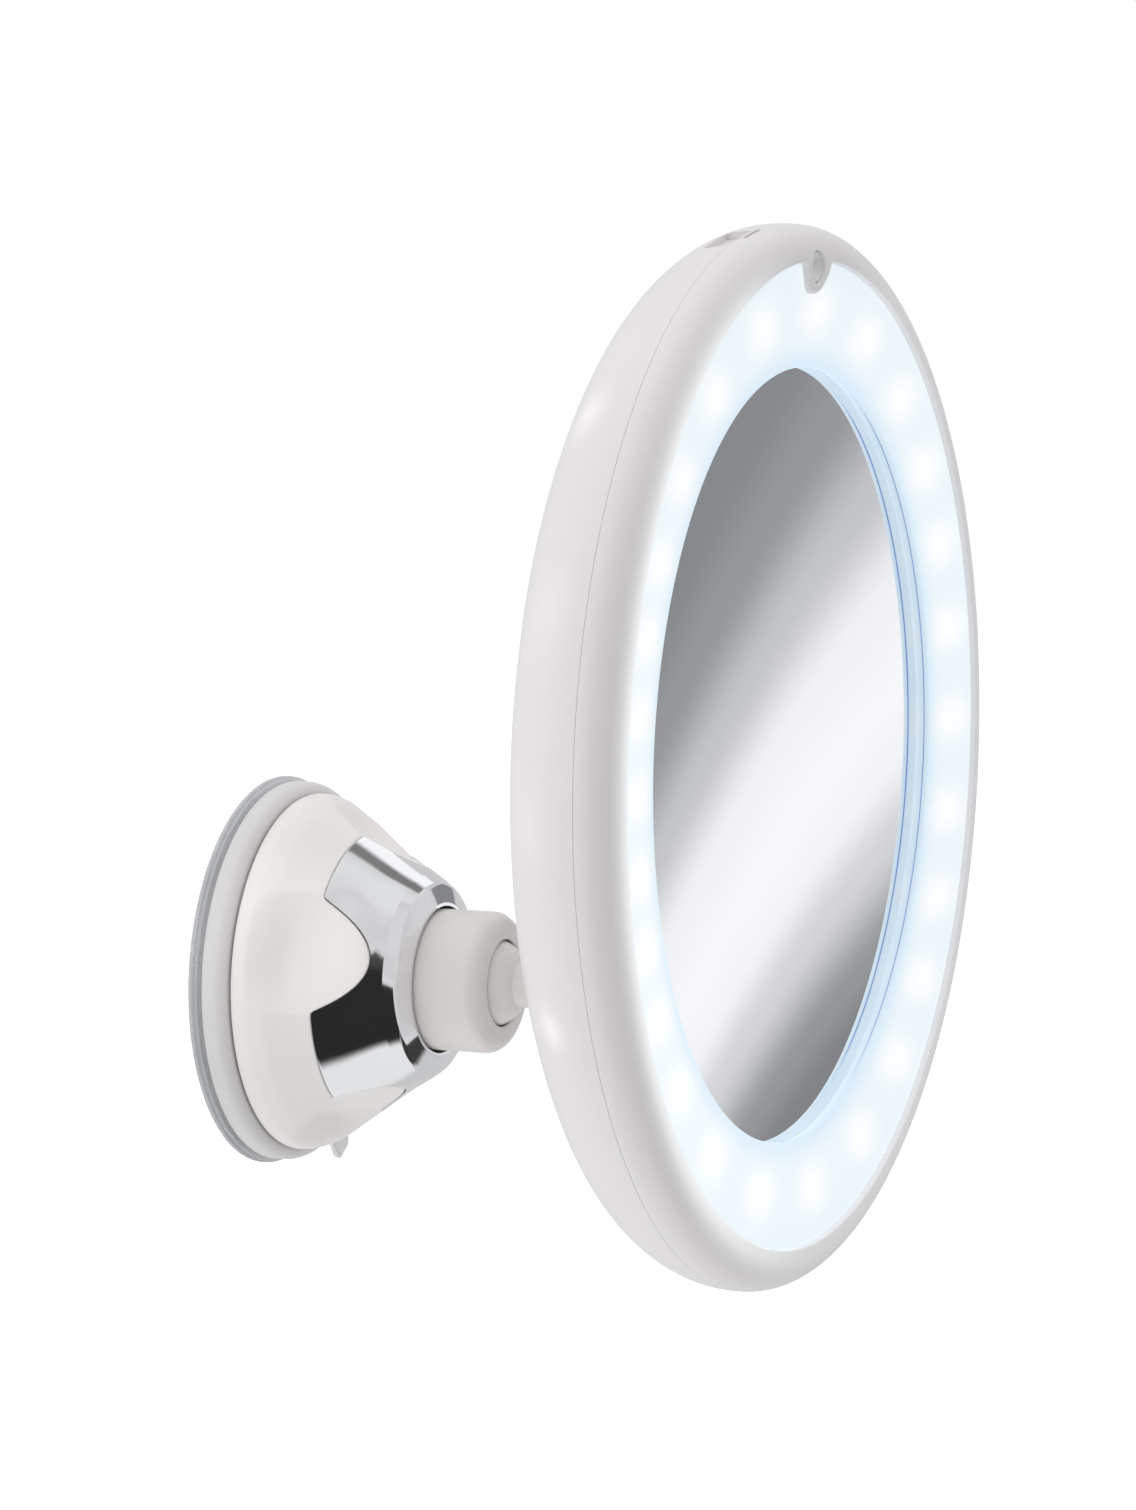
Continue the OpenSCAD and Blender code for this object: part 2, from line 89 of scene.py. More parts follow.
# Half of the gap between the two casings
SEAM = 0.025

KNOB_TURN = math.radians(29)
TONGUE_TURN = KNOB_TURN + math.radians(45)
TONGUE_TIP = 29.9
TONGUE_HALF = 11.1
KNOB_COLUMNS = 960
KNOB_WALL = 2.0
# Half of the gap between the knob and its crown
KNOB_GAP = 0.09
CROWN_RIDGE = 32.4

WINDOW_R = 92.5
FRONT_ROUND = 6.8
LOBE_R = 5.0
LOBE_FILLET = 3.5
LOBE_DROP = 0.5
LIP_R = 72.4
LIP_OUT = 109.9
GLASS_SEEN_R = 73.4
GLASS_EDGE_OUT = 107.2
WALL_FOOT = GLASS_EDGE_OUT + 0.3
GLASS_CURVE = 900.0
GLASS_THICK = 2.0
FACE_EDGE_OUT = 112.2


# ---------------------------------------------------------------- mesh tools

def rounded(points, steps=8):
    """Closed outline through (x, y, rounding) corners, each rounded one turned into an arc."""
    outline = []
    for i, (x, y, radius) in enumerate(points):
        corner = np.array([x, y], float)
        if radius == 0:
            outline.append(corner)
            continue
        back = np.array(points[i - 1][:2], float) - corner
        on = np.array(points[(i + 1) % len(points)][:2], float) - corner
        back /= np.linalg.norm(back)
        on /= np.linalg.norm(on)
        half = math.acos(max(-1, min(1, back @ on))) / 2
        middle = corner + (back + on) / np.linalg.norm(back + on) * radius / math.sin(half)
        start = corner + back * radius / math.tan(half) - middle
        end = corner + on * radius / math.tan(half) - middle
        sweep = math.pi - 2 * half
        for k in range(steps + 1):
            a = sweep * k / steps
            outline.append(middle + (math.sin(sweep - a) * start + math.sin(a) * end) / math.sin(sweep))
    return np.array(outline)


def piece(name, points, faces, body, material, stands_for=(), crease=35):
    """One mesh in metres from points in millimetres (x, y, z), riding on a body."""
    data = bpy.data.meshes.new(name)
    data.from_pydata((np.asarray(points, float) * MM).tolist(), [], [list(f) for f in faces])
    form = bmesh.new()
    form.from_mesh(data)
    bmesh.ops.remove_doubles(form, verts=form.verts, dist=2e-6)
    bmesh.ops.dissolve_degenerate(form, edges=form.edges, dist=1e-7)
    bmesh.ops.delete(form, geom=[edge for edge in form.edges if edge.is_wire], context="EDGES")
    bmesh.ops.recalc_face_normals(form, faces=form.faces)
    form.to_mesh(data)
    form.free()
    made = bpy.data.objects.new(name, data)
    bpy.context.scene.collection.objects.link(made)
    made["crease"] = crease
    data.shade_smooth()
    data.set_sharp_from_angle(angle=math.radians(crease))
    if material is not None:
        data.materials.append(material)
    if body is not None:
        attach(made, body)
    if stands_for:
        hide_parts(*stands_for)
    return made


def full_turn(count):
    """Even angles all round."""
    return np.arange(count) * 2 * math.pi / count


def sweep_faces(columns, rows):
    """Quads of a skin that is closed both round the axis and along its section."""
    i, j = np.meshgrid(np.arange(columns), np.arange(rows), indexing="ij")
    i2, j2 = (i + 1) % columns, (j + 1) % rows
    return np.stack([i * rows + j, i2 * rows + j, i2 * rows + j2, i * rows + j2], -1).reshape(-1, 4)


def swept(name, sections, angles, centre_z, body, material, stands_for=(), crease=35):
    """Skin round an axis that points out from the wall; sections holds one closed outline per angle."""
    radius, out = sections[..., 0], sections[..., 1]
    turn = angles[:, None]
    points = np.stack([-radius * np.sin(turn), -out, centre_z + radius * np.cos(turn)], -1)
    faces = sweep_faces(*radius.shape)
    return piece(name, points.reshape(-1, 3), faces, body, material, stands_for, crease)


def lathe(name, outline, body, material, stands_for=(), centre_z=0.0, count=240, crease=35):
    """Turned piece with the same outline all round."""
    sections = np.tile(outline, (count, 1, 1))
    return swept(name, sections, full_turn(count), centre_z, body, material, stands_for, crease)


def layers(name, outlines, body, material, stands_for=(), crease=35):
    """Solid from a stack of outlines, each a row of points (x, y, z), with both ends closed."""
    rows, count = outlines.shape[:2]
    faces = []
    for row in range(rows - 1):
        low, high = row * count, (row + 1) * count
        faces += [[low + k, low + (k + 1) % count, high + (k + 1) % count, high + k] for k in range(count)]
    faces += [list(range(count)), [(rows - 1) * count + k for k in range(count)]]
    return piece(name, outlines.reshape(-1, 3), faces, body, material, stands_for, crease)


def pad_outline(width, height, corner, steps=6):
    """Rounded rectangle round (0, 0)."""
    w, h = width / 2, height / 2
    return rounded([(-w, -h, corner), (w, -h, corner), (w, h, corner), (-w, h, corner)], steps)


def at_distance(centre, flat, out):
    """Flat outline placed round a centre (across, up) at a distance from the wall."""
    return np.stack([centre[0] + flat[:, 0], np.full(len(flat), -out), centre[1] + flat[:, 1]], -1)


def pad_layers(width, height, corner, centre, levels):
    """Rounded rectangle at several distances from the wall; levels holds (distance, inset)."""
    rows = []
    for out, inset in levels:
        flat = pad_outline(width - 2 * inset, height - 2 * inset, max(corner - inset, 0.2))
        rows.append(at_distance(centre, flat, out))
    return np.array(rows)


def disc_layers(centre, levels, count=48):
    """Circles at several distances from the wall; levels holds (distance, radius)."""
    turn = full_turn(count)
    circle = np.stack([np.cos(turn), np.sin(turn)], -1)
    return np.array([at_distance(centre, radius * circle, out) for out, radius in levels])


def tool(outlines):
    """Shape that only serves to cut or to add."""
    return layers("tool", outlines, None, None)


def combine(made, cutters, operation="DIFFERENCE"):
    """Cuts the tools out of a piece, or adds them to it, and then removes the tools."""
    for cutter in cutters:
        step = made.modifiers.new("combine", "BOOLEAN")
        step.operation = operation
        step.object = cutter
        step.solver = "EXACT"
    graph = bpy.context.evaluated_depsgraph_get()
    result = bpy.data.meshes.new_from_object(made.evaluated_get(graph))
    made.modifiers.clear()
    made.data = result
    result.set_sharp_from_angle(angle=math.radians(made["crease"]))
    for cutter in cutters:
        bpy.data.objects.remove(cutter)


def vertex_values(made, name, values):
    layer = made.data.attributes.new(name, "FLOAT", "POINT")
    layer.data.foreach_set("value", np.asarray(values, np.float32))


def vertices(made):
    """Points of a mesh as (across, out from the wall, up) in millimetres."""
    flat = np.empty(len(made.data.vertices) * 3)
    made.data.vertices.foreach_get("co", flat)
    points = flat.reshape(-1, 3) / MM
    return np.stack([points[:, 0], -points[:, 1], points[:, 2]], -1)


def ramp(low, high, value):
    """Smooth step from 0 at low to 1 at high."""
    t = np.clip((value - low) / (high - low), 0, 1)
    return t * t * (3 - 2 * t)


# ---------------------------------------------------------------- materials

def shader(name, colour, roughness, **sockets):
    """A material whose even values are set on the Principled shader's own sockets."""
    made = bpy.data.materials.new(name)
    made.use_nodes = True
    surface = made.node_tree.nodes["Principled BSDF"]
    surface.inputs["Base Color"].default_value = (*colour, 1)
    surface.inputs["Roughness"].default_value = roughness
    for socket, value in sockets.items():
        surface.inputs[socket.replace("_", " ")].default_value = value
    return made


def colour_ramp(tree, factor, stops):
    """Colour ramp node fed by a factor; stops holds (position, colour)."""
    node = tree.nodes.new("ShaderNodeValToRGB")
    elements = node.color_ramp.elements
    while len(elements) < len(stops):
        elements.new(0.5)
    for element, (position, colour) in zip(elements, stops):
        element.position = position
        element.color = (*colour, 1)
    tree.links.new(factor, node.inputs["Fac"])
    return node


def vary(made, scale, tint=0.02, rough=0.05, bump=0.02, grain=2500.0, stretch=(1, 1, 1)):
    """Cloudy changes of colour and roughness, and a fine grain in the surface."""
    tree = made.node_tree
    surface = tree.nodes["Principled BSDF"]
    place = tree.nodes.new("ShaderNodeTexCoord")
    stretched = tree.nodes.new("ShaderNodeMapping")
    stretched.inputs["Scale"].default_value = stretch
    tree.links.new(place.outputs["Object"], stretched.inputs["Vector"])
    cloud = tree.nodes.new("ShaderNodeTexNoise")
    cloud.inputs["Scale"].default_value = scale
    cloud.inputs["Detail"].default_value = 5
    tree.links.new(stretched.outputs["Vector"], cloud.inputs["Vector"])

    colour = surface.inputs["Base Color"].default_value[:3]
    tints = colour_ramp(tree, cloud.outputs["Fac"], [
        (0.3, [c * (1 - tint) for c in colour]), (0.7, [min(1, c * (1 + tint)) for c in colour])])
    tree.links.new(tints.outputs["Color"], surface.inputs["Base Color"])

    level = surface.inputs["Roughness"].default_value
    spread = tree.nodes.new("ShaderNodeMapRange")
    spread.inputs["To Min"].default_value = max(0, level * (1 - rough))
    spread.inputs["To Max"].default_value = min(1, level * (1 + rough))
    tree.links.new(cloud.outputs["Fac"], spread.inputs["Value"])
    tree.links.new(spread.outputs["Result"], surface.inputs["Roughness"])

    fine = tree.nodes.new("ShaderNodeTexNoise")
    fine.inputs["Scale"].default_value = grain
    fine.inputs["Detail"].default_value = 3
    tree.links.new(stretched.outputs["Vector"], fine.inputs["Vector"])
    relief = tree.nodes.new("ShaderNodeBump")
    relief.inputs["Strength"].default_value = bump
    relief.inputs["Distance"].default_value = 0.0002
    tree.links.new(fine.outputs["Fac"], relief.inputs["Height"])
    tree.links.new(relief.outputs["Normal"], surface.inputs["Normal"])
    return made


def glowing(made, attribute, stops, strength):
    """Emitted light, coloured by a value stored on the mesh: the lit ring's own glow, and painted glow on
    the case parts.
    """
    tree = made.node_tree
    surface = tree.nodes["Principled BSDF"]
    value = tree.nodes.new("ShaderNodeAttribute")
    value.attribute_name = attribute
    colours = colour_ramp(tree, value.outputs["Fac"], stops)
    tree.links.new(colours.outputs["Color"], surface.inputs["Emission Color"])
    surface.inputs["Emission Strength"].default_value = strength
    return made


def white_plastic(name="shell_white", colour=(0.79, 0.765, 0.775), roughness=0.36):
    made = shader(name, colour, roughness, Specular_IOR_Level=0.45)
    return vary(made, 22, tint=0.012, rough=0.1, bump=0.05, grain=3200)


def knob_plastic():
    made = shader("knob_white", (0.845, 0.825, 0.81), 0.42, Specular_IOR_Level=0.4)
    return vary(made, 40, tint=0.012, rough=0.08, bump=0.06, grain=3600)


def chrome():
    made = shader("bright_chrome", (0.86, 0.87, 0.89), 0.06, Metallic=1.0)
    return vary(made, 60, tint=0.02, rough=0.35, bump=0.01, grain=900)


def silvered():
    made = shader("silvered_glass", (0.93, 0.935, 0.94), 0.03, Metallic=1.0)
    return vary(made, 30, tint=0.01, rough=0.5, bump=0.0, grain=600, stretch=(1, 1, 0.35))


def clear_rubber():
    made = shader("clear_rubber", (0.88, 0.90, 0.925), 0.26, Transmission_Weight=0.5, IOR=1.42)
    return vary(made, 70, tint=0.05, rough=0.15, bump=0.08, grain=1800)


def frosted_rubber():
    made = shader("frosted_tab", (0.97, 0.97, 0.975), 0.5, Transmission_Weight=0.35, IOR=1.4)
    return vary(made, 90, tint=0.01, rough=0.1, bump=0.05, grain=2200)


def milky():
    made = shader("milky_diffuser", (0.26, 0.29, 0.31), 0.32, Specular_IOR_Level=0.5)
    vary(made, 26, tint=0.01, rough=0.06, bump=0.03, grain=3000)
    return glowing(made, "glow", [
        (0.0, (0.03, 0.10, 0.46)), (0.14, (0.52, 0.71, 0.95)), (0.32, (0.66, 0.81, 0.94)),
        (0.56, (0.82, 0.89, 0.92)), (1.0, (1, 1, 1))], 0.77)


def steel(name="steel", colour=(0.56, 0.56, 0.57), roughness=0.32):
    made = shader(name, colour, roughness, Metallic=0.95)
    return vary(made, 400, tint=0.06, rough=0.2, bump=0.12, grain=2400, stretch=(1, 0.2, 1))


def moulded(name, colour, roughness=0.5):
    made = shader(name, colour, roughness, Specular_IOR_Level=0.4)
    return vary(made, 120, tint=0.05, rough=0.12, bump=0.1, grain=2600)


# ---------------------------------------------------------------- suction mount

def make_suction_cup(material, tab_material):
    outline = rounded([
        (0, 0, 0), (CUP_R, 0, 0.25), (CUP_R, 0.85, 0.3), (CUP_R - 0.55, 1.05, 0.1), (CUP_R - 0.75, 1.5, 0.2),
        (CUP_R - 1.5, 1.62, 0.1), (CUP_R - 1.9, 1.95, 0.2), (CUP_R - 2.9, 2.0, 0),
        (30, 2.1, 0), (24, 2.5, 0), (16, 2.8, 0), (0, 2.8, 0)], 4)
    cup = lathe("suction_lip", outline, "mount", material, ["suction_cup"], count=288)
    low, high = low_high("suction_cup")
    tab_turn = math.radians(214)
    tab_reach = -low[2] / -math.cos(tab_turn) if low[2] < -CUP_R else CUP_R + 7
    across, up = -math.sin(tab_turn), math.cos(tab_turn)
    rows = []
    for along, half, thick in [(-2.2, 3.3, 0.45), (0, 3.1, 0.5), (2.0, 2.9, 0.55), (3.8, 3.0, 0.7),
                               (tab_reach - CUP_R - 1.6, 2.9, 0.9), (tab_reach - CUP_R - 0.5, 2.1, 0.8),
                               (tab_reach - CUP_R - 0.1, 1.0, 0.5)]:
        radius = CUP_R + along
        flat = rounded([(-half, 0.1, 0.1), (half, 0.1, 0.1), (half, 0.1 + thick * 1.3, 0.25),
                        (-half, 0.1 + thick * 1.3, 0.25)], 3)
        sideways, out = flat[:, 0], flat[:, 1]
        rows.append(np.stack([across * radius + up * sideways, -out, up * radius - across * sideways], -1))
    tab = layers("release_tab", np.array(rows), "mount", tab_material, crease=50)
    return cup, tab


def make_base_ring(material):
    outline = rounded([
        (4.3, BASE_HUB, 0), (16.6, BASE_HUB, 0), (16.6, 5.2, 0), (31.4, 5.2, 0), (31.4, 9.2, 0.2),
        (32.8, 9.2, 0.2), (32.8, 7.0, 0), (BASE_R, 7.0, 2.3), (BASE_R, 2.15, 0.8), (35.9, 2.15, 0),
        (35.6, 3.05, 0), (14.8, 3.05, 0), (14.8, 7.6, 0), (4.3, 7.6, 0)], 8)
    return lathe("base_cover", outline, "mount", material, ["base_ring"], count=288)


# Outline of the knob and its crown from the wall outwards
KNOB_OUTLINE = rounded([
    (20, KNOB_BACK, 0), (35.0, KNOB_BACK, 0.5), (34.8, 10, 6), (33.4, 13.2, 7), (22.9, 28, 80),
    (20.3, CROWN_RIDGE, 0.6), (18.7, 34.7, 2.0), (15.0, CROWN_FRONT, 0.3), (14.35, CROWN_FRONT, 0)], 48)[1:]


def knob_radius(out):
    """Radius of the knob's outline at a distance from the wall."""
    keep = np.concatenate([[True], np.diff(KNOB_OUTLINE[:, 1]) > 1e-6])
    return np.interp(out, KNOB_OUTLINE[keep, 1], KNOB_OUTLINE[keep, 0])


def from_tongue(angles):
    """Angle from the middle of the nearest tongue."""
    quarter = math.pi / 2
    return (angles - TONGUE_TURN + quarter / 2) % quarter - quarter / 2


def crown_start(angles):
    """Distance from the wall at which the crown begins: the leg ends, or the edge of a tongue."""
    aside = np.abs(from_tongue(angles))
    low, high = np.full(len(angles), LEG_END - 12.0), np.full(len(angles), TONGUE_TIP)
    for _ in range(40):
        out = (low + high) / 2
        edge = TONGUE_TIP - (TONGUE_TIP - LEG_END) * (knob_radius(out) * np.sin(aside) / TONGUE_HALF) ** 2
        low, high = np.where(edge > out, out, low), np.where(edge > out, high, out)
    corner = 0.35
    return (out + LEG_END) / 2 + np.sqrt(((out - LEG_END) / 2) ** 2 + corner ** 2)


def scallop_depth(angles, out):
    """How far the finger scallops go in, radially."""
    aside = knob_radius(out) * np.sin(np.abs(from_tongue(angles)))
    half = 12.0 - 1.2 * ramp(20, 24, out) - 4.4 * ramp(22, 29.9, out)
    begin = 14.0 - 4.2 * np.sqrt(np.clip(1 - (aside / 12.0) ** 4, 0, 1))
    across = np.clip(1 - (aside / half) ** 2, 0, 1)
    soft = across ** 2 / (across + 0.05)
    deep = 4.4 * ramp(0, 7.0, out - begin) * (1 - 0.86 * ramp(15.5, 29.5, out))
    return deep * soft


def make_knob(material):
    angles = full_turn(KNOB_COLUMNS)
    start = crown_start(angles) - KNOB_GAP
    sections = []
    rows = 64
    lining_out = np.linspace(27, 12.8, 14)
    for angle, end in zip(angles, start):
        lowest = KNOB_BACK + 0.5
        out = lowest + (end - 0.25 - lowest) * np.linspace(0, 1, rows)
        radius = knob_radius(out) - scallop_depth(np.full(rows, angle), out)
        skin = np.stack([radius, out], -1)
        edge = radius[-1] - 0.02
        seat = knob_radius(end) - 1.15
        seat_in = np.array([
            [edge - 0.12, end - 0.07], [edge - 0.3, end], [min(seat, edge - 0.5), end], [19.2, 31.2],
            [17.2, 32.1], [12.3, 32.1], [10.2, 29.4], [13.2, 29.4], [13.2, 14], [15, 12], [15, 27]])
        dent = scallop_depth(np.full(len(lining_out), angle), lining_out)
        lining = np.stack([knob_radius(lining_out) - KNOB_WALL - dent, lining_out], -1)
        foot = np.array([[32.4, 9.4], [32.6, KNOB_BACK + 0.1], [34.3, KNOB_BACK], [34.85, KNOB_BACK + 0.12]])
        sections.append(np.concatenate([skin, seat_in, lining, foot]))
    return swept("knob_shell", np.array(sections), angles, 0.0, "knob", material,
                 ["twist_knob"], crease=42)


def make_crown(material):
    angles = full_turn(KNOB_COLUMNS)
    start = crown_start(angles) + KNOB_GAP
    front = KNOB_OUTLINE[KNOB_OUTLINE[:, 1] > CROWN_RIDGE - 1.0]
    sections = []
    rows = 40
    for end in start:
        out = np.linspace(end + 0.16, front[0, 1] - 0.05, rows)
        skin = np.stack([knob_radius(out), out], -1)
        foot = knob_radius(end)
        lip = np.array([[foot - 0.85, end], [foot - 0.2, end], [foot - 0.06, end + 0.05]])
        inner = np.array([
            [14.3, CROWN_FRONT - 0.3], [14.3, CROWN_FRONT - 1.0], [17.3, CROWN_FRONT - 1.9],
            [19.3, CROWN_RIDGE - 0.1]])
        sections.append(np.concatenate([lip, skin, front, inner]))
    return swept("crown", np.array(sections), angles, 0.0, "knob", material,
                 ["chrome_crown"], crease=38)


# ---------------------------------------------------------------- ball joint

def make_collar(material):
    outline = rounded([
        (11.95, COLLAR_BACK, 0), (COLLAR_R, COLLAR_BACK, 0.3), (COLLAR_R, COLLAR_FRONT, 3.3),
        (8.15, COLLAR_FRONT, 0.45), (9.2, COLLAR_FRONT - 2.0, 0.2), (11.95, COLLAR_FRONT - 2.0, 0)], 12)
    return lathe("collar", outline, "collar", material, ["collar_nut"], count=192)


def make_stem(material):
    neck = 4.5
    flange_r = 14.0
    flange_back = BACK - 3.05
    turns = np.linspace(0, math.pi - math.asin(neck / BALL_R), 40)
    ball = np.stack([BALL_R * np.sin(turns), BALL_OUT - BALL_R * np.cos(turns)], -1)
    flare = rounded([
        (neck, BALL_OUT + 8.4, 0), (neck, flange_back - 6.5, 3.5), (9.3, flange_back - 0.2, 3.0),
        (flange_r, flange_back, 0.9), (flange_r, BACK - 0.05, 0.2), (8, BACK - 0.05, 0), (8, BACK - 0.3, 0),
        (neck - 0.1, BACK - 0.3, 0), (neck - 0.1, STEM_FRONT, 0), (0, STEM_FRONT, 0)], 10)
    return lathe("ball_and_neck", np.concatenate([ball, flare]), "head", material,
                 ["ball_stem"], count=160)


# ---------------------------------------------------------------- mirror head

BOX_UP = 12.0
HUMP_W, HUMP_H = 50.0, 68.0
COVER_W, COVER_H = 40.0, 60.0
COVER_SCREW_UP = COVER_H / 2 - 2.6
NOTCH_TURN = math.radians(13.3)


def beside(turn, points):
    """Points drawn as (across, out, radius) at the top of the head, turned round its axis."""
    across, out, radius = points[..., 0], points[..., 1], points[..., 2]
    x = -radius * math.sin(turn) + across * math.cos(turn)
    z = radius * math.cos(turn) + across * math.sin(turn)
    return np.stack([x, -out, HEAD_UP + z], -1)


def slot_tool(turn, width, out_low, out_high, depth, corner):
    """Block that cuts a pocket into the head's rim."""
    flat = rounded([(-width / 2, out_low, corner), (width / 2, out_low, corner),
                    (width / 2, out_high, corner), (-width / 2, out_high, corner)], 3)
    rows = [np.stack([flat[:, 0], flat[:, 1], np.full(len(flat), radius)], -1)
            for radius in (HEAD_R - depth, HEAD_R + 4)]
    made = tool(beside(turn, np.array(rows)))
    made.data.shade_flat()
    return made


def make_back_shell(material):
    wall = 2.2
    steps = 20
    outer = rounded([(0, BACK, 0), (HEAD_R, BACK, BACK_ROUND - 0.6), (HEAD_R, SPLIT - SEAM, 0.06),
                     (HEAD_R - wall, SPLIT - SEAM, 0), (HEAD_R - wall, BACK + wall, BACK_ROUND - wall - 0.6),
                     (0, BACK + wall, 0)], steps)
    shell = lathe("back_shell", outer, "head", material, ["rear_shell"], HEAD_UP, 288, 32)
    centre = (0, HEAD_UP + BOX_UP)
    hump = tool(pad_layers(HUMP_W, HUMP_H, 5, centre, [
        (HUMP_BACK, 1.2), (HUMP_BACK + 0.1, 0.72), (HUMP_BACK + 0.35, 0.35), (HUMP_BACK + 0.72, 0.1),
        (HUMP_BACK + 1.2, 0), (BACK - 1.0, 0), (BACK - 0.45, -0.12), (BACK - 0.12, -0.45),
        (BACK + 0.05, -1.0), (BACK + 1.0, -1.0)]))
    combine(shell, [hump], "UNION")
    recess = tool(pad_layers(COVER_W, COVER_H, 2, centre, [
        (HUMP_BACK - 1, -0.2), (HUMP_BACK, -0.2), (HUMP_BACK + 0.2, 0), (HUMP_BACK + 2.0, 0)]))
    well = tool(pad_layers(34.6, 52, 1, centre, [(HUMP_BACK + 1.9, 0), (HUMP_BACK + 12, 0)]))
    holes = [recess, well, slot_tool(NOTCH_TURN, 12, SPLIT - 4.9, SPLIT + 1, 1.8, 0.3)]
    combine(shell, holes)
    points = vertices(shell)
    # Painted glow: soft bright spots put into the shell's emission along its side
    spots = [(47, 97.0, 4.5, 0.8), (113.5, 98.0, 3.6, 1.0), (70, 99.0, 6.5, 0.25), (92, 97.0, 6.0, 0.2)]
    turn = np.arctan2(-points[:, 0], points[:, 2] - HEAD_UP)
    painted_glow = np.zeros(len(points))
    for at, out, spread, level in spots:
        away = (((turn - math.radians(at)) * HEAD_R) ** 2 + ((points[:, 1] - out) * 1.6) ** 2) / spread ** 2
        painted_glow += level * np.exp(-away)
    vertex_values(shell, "painted_glow", painted_glow)
    return shell


def offset_circle(radius, turn):
    """Distance from the head's centre to a circle round the window's centre."""
    lift = WINDOW_UP - HEAD_UP
    return lift * np.cos(turn) + np.sqrt(radius ** 2 - (lift * np.sin(turn)) ** 2)


def head_angles():
    """Angles round the head, close together beside the button's lobe."""
    dense = np.arange(-140, 140) * math.radians(0.1)
    rest = np.linspace(math.radians(14), math.radians(346), 400, endpoint=True)
    return np.concatenate([dense, rest])


def window_edge(turn):
    """Distance from the head's centre to the bezel's inner edge, with the lobe blended in."""
    along = np.linspace(80, 96, 3201)[None, :]
    x, z = -along * np.sin(turn)[:, None], along * np.cos(turn)[:, None]
    rim = WINDOW_R - np.hypot(x, z - (WINDOW_UP - HEAD_UP))
    lobe = np.hypot(x, z - (BUTTON_UP - HEAD_UP)) - LOBE_R
    share = np.clip(0.5 + 0.5 * (rim - lobe) / LOBE_FILLET, 0, 1)
    solid = rim * (1 - share) + lobe * share - LOBE_FILLET * share * (1 - share)
    return along[0][np.argmax(solid < 0, axis=1)]


def make_bezel(material):
    angles = head_angles()
    edges = window_edge(angles)
    inside = FRONT - 2.2
    sections = []
    for edge in edges:
        front_round = min(FRONT_ROUND, HEAD_R - edge - 0.45)
        drop = LOBE_DROP * ramp(91.5, 87.5, edge)
        edge_round = 0.4 + 0.7 * ramp(91.5, 87.5, edge)
        sections.append(rounded([
            (edge, inside, 0), (edge, FRONT - drop, edge_round), (HEAD_R, FRONT, front_round),
            (HEAD_R, SPLIT + SEAM, 0.06), (HEAD_R - 2.1, SPLIT + SEAM, 0), (HEAD_R - 2.1, inside, 3)], 12))
    bezel = swept("bezel", np.array(sections), angles, HEAD_UP, "head", material,
                  ["front_bezel"], crease=40)
    at = (0, BUTTON_UP)
    hole = BUTTON_R + 0.1
    lobe_top = FRONT - LOBE_DROP
    combine(bezel, [
        tool(disc_layers(at, [(FRONT - 4, hole), (lobe_top - 0.3, hole), (lobe_top + 0.1, hole + 0.35),
                              (FRONT + 2, hole + 0.35)], 64)),
        slot_tool(NOTCH_TURN - math.radians(2), 8, SPLIT + 0.7, SPLIT + 1.4, 1.2, 0.2)])
    points = vertices(bezel)
    turn = np.arctan2(-points[:, 0], points[:, 2] - HEAD_UP)
    radius = np.hypot(points[:, 0], points[:, 2] - HEAD_UP)
    # Painted glow: the bezel's emission is brighter next to the window and stronger on the side towards -X
    painted_glow = (1 - ramp(WINDOW_R, WINDOW_R + 5.5, radius)) * (0.3 + 0.7 * ramp(-0.1, 0.7, np.sin(turn)))
    vertex_values(bezel, "painted_glow", painted_glow * ramp(0.1, 0.45, np.abs(turn)))
    return bezel


def make_light_ring(material):
    angles = head_angles()
    edges = window_edge(angles) - 0.1
    lips = offset_circle(LIP_R, angles)
    grown = offset_circle(GLASS_SEEN_R, angles) - lips
    rows = 44
    wall_steps = np.array([0, 0.3, 0.56, 0.60, 0.78, 0.82, 0.92])[:, None]
    sections = []
    for edge, lip, grow in zip(edges, lips, grown):
        corner = rounded([(lip + grow, WALL_FOOT, 0), (lip, LIP_OUT, 0.5), (edge, FACE_EDGE_OUT, 0)], 4)[:-1]
        rise = (FACE_EDGE_OUT - LIP_OUT) * (edge - 0.4 - lip) / 19.8
        foot, top = corner[-1], np.array([edge - 0.4, LIP_OUT + rise])
        t = np.linspace(0, 1, rows)[1:, None]
        face = foot + (top - foot) * t
        wall = corner[0] + (corner[1] - corner[0]) * wall_steps
        back = np.array([
            [edge - 0.1, top[1] - 0.05], [edge, top[1] - 0.35], [edge, top[1] - 1.6],
            [lip + 3.6, LIP_OUT - 1.9], [lip + 2.2, WALL_FOOT]])
        sections.append(np.concatenate([wall, corner[1:], face, back]))
    ring = swept("light_ring", np.array(sections), angles, HEAD_UP, "head", material,
                 ["diffuser_ring"], crease=50)
    points = vertices(ring)
    inward = np.hypot(points[:, 0], points[:, 2] - WINDOW_UP) < GLASS_SEEN_R + 0.1
    depth = (points[:, 1] - WALL_FOOT) / (LIP_OUT - WALL_FOOT)
    line = inward & (depth > 0.48) & (depth < 0.66)
    beside_top = ramp(0.25, 0.6, np.abs(points[:, 0]) / GLASS_SEEN_R)
    # The darkest colours are kept for the blue line in the wall
    vertex_values(ring, "glow", (0.14 + 0.86 * glow_at(points)) * (1 - line * beside_top))
    return ring


def diode_places():
    """Centres of the diodes, across and up, from the CAD node's points."""
    points = vertices(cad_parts["leds"])[:, [0, 2]]
    turn = np.arctan2(-points[:, 0], points[:, 1] - WINDOW_UP)
    order = np.argsort(turn)
    turn, points = turn[order], points[order]
    breaks = np.nonzero(np.diff(turn) > math.radians(2))[0] + 1
    return [group.mean(0) for group in np.split(points, breaks)]


